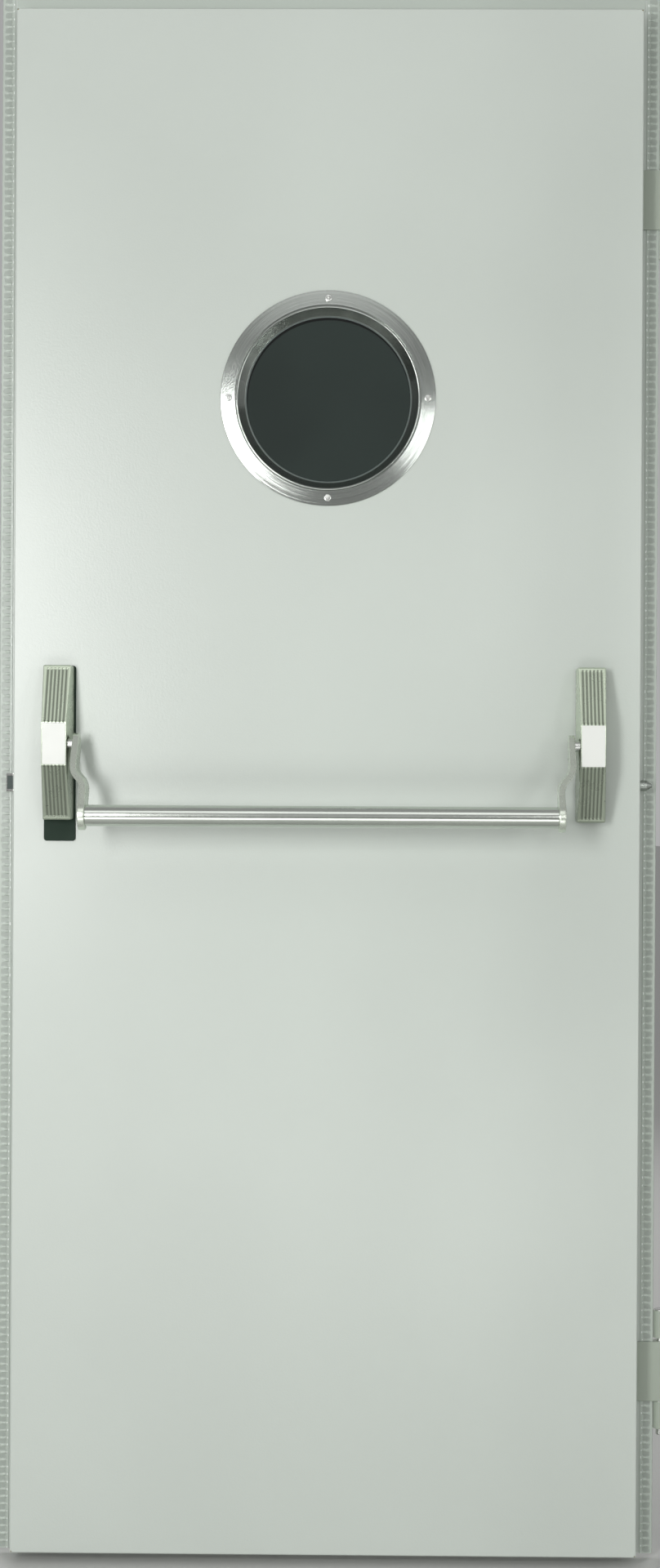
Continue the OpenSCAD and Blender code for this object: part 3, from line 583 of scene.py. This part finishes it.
pattern = makeScrew("screwPattern")
ringLow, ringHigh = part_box("porthole_ring_push")
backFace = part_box("porthole_ring_pull")[1].y
ringMiddle = (ringLow + ringHigh) / 2
ringScrews = {"circle": 0.1295, "sink": 0.0016, "spins": (12, 37, -20, 5)}
for number, spin in enumerate(ringScrews["spins"]):
    angle = math.radians(90 * number)
    x = ringMiddle.x + ringScrews["circle"] * math.sin(angle)
    z = ringMiddle.z + ringScrews["circle"] * math.cos(angle)
    setScrew(f"ringScrewPush{number}", (x, ringLow.y + ringScrews["sink"], z), (0, -1, 0), spin, "leaf")
    setScrew(f"ringScrewPull{number}", (x, backFace - ringScrews["sink"], z), (0, 1, 0), -spin, "leaf")
print("ring screws set")

edgeScrews = {"apart": 0.156, "strikeInset": 0.012, "sink": 0.0020, "forendSpins": (20, 50), "strikeSpins": (15, -25)}
forendLow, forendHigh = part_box("forend")
strikeLow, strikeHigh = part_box("strike_plate")
forendMiddle = (forendLow + forendHigh) / 2
strikeMiddle = (strikeLow + strikeHigh) / 2
for number, side in enumerate((-1, 1)):
    z = forendMiddle.z + side * edgeScrews["apart"] / 2
    setScrew(f"forendScrew{number}", (forendLow.x + edgeScrews["sink"], forendMiddle.y, z), (-1, 0, 0),
             edgeScrews["forendSpins"][number], "leaf")
    z = strikeMiddle.z + side * ((strikeHigh.z - strikeLow.z) / 2 - edgeScrews["strikeInset"])
    setScrew(f"strikeScrew{number}", (strikeHigh.x - edgeScrews["sink"], strikeMiddle.y, z), (1, 0, 0),
             edgeScrews["strikeSpins"][number], "frame")
bpy.data.objects.remove(pattern)
print("edge screws set")

armPin = {"radius": 0.0017, "length": 0.006, "sides": 24, "proud": 0.0005, "round": 0.0004, "roundSteps": 3,
          "fromHousing": 0.012, "fromCrest": 0.018, "belowMiddle": 0.0185}


def makeArmPin(name, housingNode, side):
    # the pin that locks a lever on its shaft shows on the lever's inner face
    low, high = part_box(housingNode)
    face = (high.x if side > 0 else low.x) + side * armPin["fromHousing"]
    putDown()
    bpy.ops.mesh.primitive_cylinder_add(
        vertices=armPin["sides"], radius=armPin["radius"], depth=armPin["length"],
        rotation=(0, math.radians(side * 90), 0),
        location=(face + side * (armPin["proud"] - armPin["length"] / 2), low.y + armPin["fromCrest"],
                  (low.z + high.z) / 2 - armPin["belowMiddle"]))
    pin = bpy.context.object
    pin.name = name
    roundTop(pin, armPin["round"], armPin["roundSteps"])
    smooth(pin, 40)
    fit(pin, "bar", "bright_steel")


makeArmPin("lockSideArmPin", "lock_side_housing", 1)
makeArmPin("hingeSideArmPin", "hinge_side_housing", -1)

gasket = {"radius": 0.1078, "proud": 0.0014, "width": 0.0024, "sides": 8, "steps": 160}


def makeGasket(name, glassFace, outward):
    # a rubber lip that closes the gap between a ring and the glass
    putDown()
    bpy.ops.mesh.primitive_circle_add(vertices=gasket["sides"], radius=gasket["width"] / 2, fill_type="NOTHING",
                                      location=(ringMiddle.x + gasket["radius"], glassFace, ringMiddle.z))
    lip = bpy.context.object
    lip.name = name
    openUp(lip, "EDGE", lambda edge: True)
    bpy.ops.transform.resize(value=(1, 2 * gasket["proud"] / gasket["width"], 1))
    bpy.ops.mesh.spin(steps=gasket["steps"], angle=math.tau, center=(ringMiddle.x, glassFace, ringMiddle.z),
                      axis=(0, outward, 0), use_auto_merge=True)
    bpy.ops.object.mode_set(mode="OBJECT")
    settle(lip)
    smooth(lip, 60)
    fit(lip, "leaf", "dark_insert")


glassLow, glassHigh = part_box("porthole_glass")
makeGasket("pushGasket", glassLow.y, -1)
makeGasket("pullGasket", glassHigh.y, 1)
print("arm pins and gaskets made")

cameraSetup = {
    "place": (-0.3637, -3.0507, 1.0182),
    "turn": (89.857, -0.300, 0.578),
    "lens": 53.106,
    "sensor": 36.0,
    "shift": (-0.02946, 0.00281),
}
putDown()
cameraData = bpy.data.cameras.new("camera")
cameraData.sensor_width = cameraSetup["sensor"]
cameraData.lens = cameraSetup["lens"]
cameraData.shift_x, cameraData.shift_y = cameraSetup["shift"]
camera = bpy.data.objects.new("camera", cameraData)
camera.location = cameraSetup["place"]
camera.rotation_euler = [math.radians(angle) for angle in cameraSetup["turn"]]
bpy.context.scene.collection.objects.link(camera)
bpy.context.scene.camera = camera

floorSetup = {"size": 70, "tint": grey(192, 193, 190), "gloss": 0.55}
bpy.ops.mesh.primitive_plane_add(size=floorSetup["size"], location=(0, 0, 0))
floor = bpy.context.object
floor.name = "floor"
floor.data.materials.append(Coat("floorPale", Roughness=floorSetup["gloss"]).finish(Base_Color=floorSetup["tint"]))

lamps = {
    "keyLamp": {"place": (-1.52, -2.95, 1.36), "aim": (-0.5, 0, 1.1), "size": (0.5, 1.25), "power": 42.5},
    "fillLamp": {"place": (1.75, -2.95, 1.4), "aim": (-0.4, 0, 1.1), "size": (0.5, 1.1), "power": 10.5},
    "ringLamp": {"place": (0.42, -2.95, 1.55), "aim": (-0.46, 0, 1.5), "size": (0.4, 0.7), "power": 7.5},
    "sideLamp": {"place": (2.2, -0.9, 1.3), "aim": (0, -0.1, 1.3), "size": (1.4, 2.0), "power": 4.5},
    "topLamp": {"place": (-0.4, -2.4, 3.1), "aim": (-0.4, -0.6, 0.9), "size": (2.4, 1.2), "power": 9},
    "backLeftLamp": {"place": (-2.3, 2.9, 2.0), "aim": (-0.5, 0, 1.1), "size": (1.5, 1.5), "power": 28},
    "backRightLamp": {"place": (1.5, 2.9, 1.8), "aim": (-0.4, 0, 1.1), "size": (1.5, 1.5), "power": 24},
    "barLamp": {"place": (-0.45, -1.57, 0.25), "aim": (-0.45, -0.14, 0.975), "size": (1.8, 0.45), "power": 4.4},
}
for name, lamp in lamps.items():
    light = bpy.data.lights.new(name, "AREA")
    light.shape = "RECTANGLE"
    light.size, light.size_y = lamp["size"]
    light.energy = lamp["power"]
    body = bpy.data.objects.new(name, light)
    body.location = lamp["place"]
    body.rotation_euler = (Vector(lamp["aim"]) - Vector(lamp["place"])).to_track_quat("-Z", "Y").to_euler()
    body.visible_camera = False
    body.visible_transmission = False
    bpy.context.scene.collection.objects.link(body)

# the room's light, a little brighter at the horizon; 0 is straight down, 0.5 level and 1 straight up
skyGlow = {0.0: 0.4, 0.46: 0.4, 0.5: 0.42, 0.65: 0.38}
world = bpy.data.worlds.new("studio")
bpy.context.scene.world = world
world.use_nodes = True
sky = Wiring(world.node_tree)
direction = sky.add("ShaderNodeTexCoord", output="Generated")
rise = sky.add("ShaderNodeSeparateXYZ", {}, {0: direction}, output="Z")
share = sky.add("ShaderNodeMapRange", {}, {"Value": rise, "From Min": -1.0})
glow = sky.add("ShaderNodeValToRGB", {"stops": [(at, (value,) * 3) for at, value in skyGlow.items()]}, {"Fac": share})
sky.feed(world.node_tree.nodes["Background"], "Color", glow)
sky.feed(world.node_tree.nodes["Background"], "Strength", 1.0)
bpy.context.scene.view_settings.view_transform = "Standard"
print("camera, floor and lamps placed")
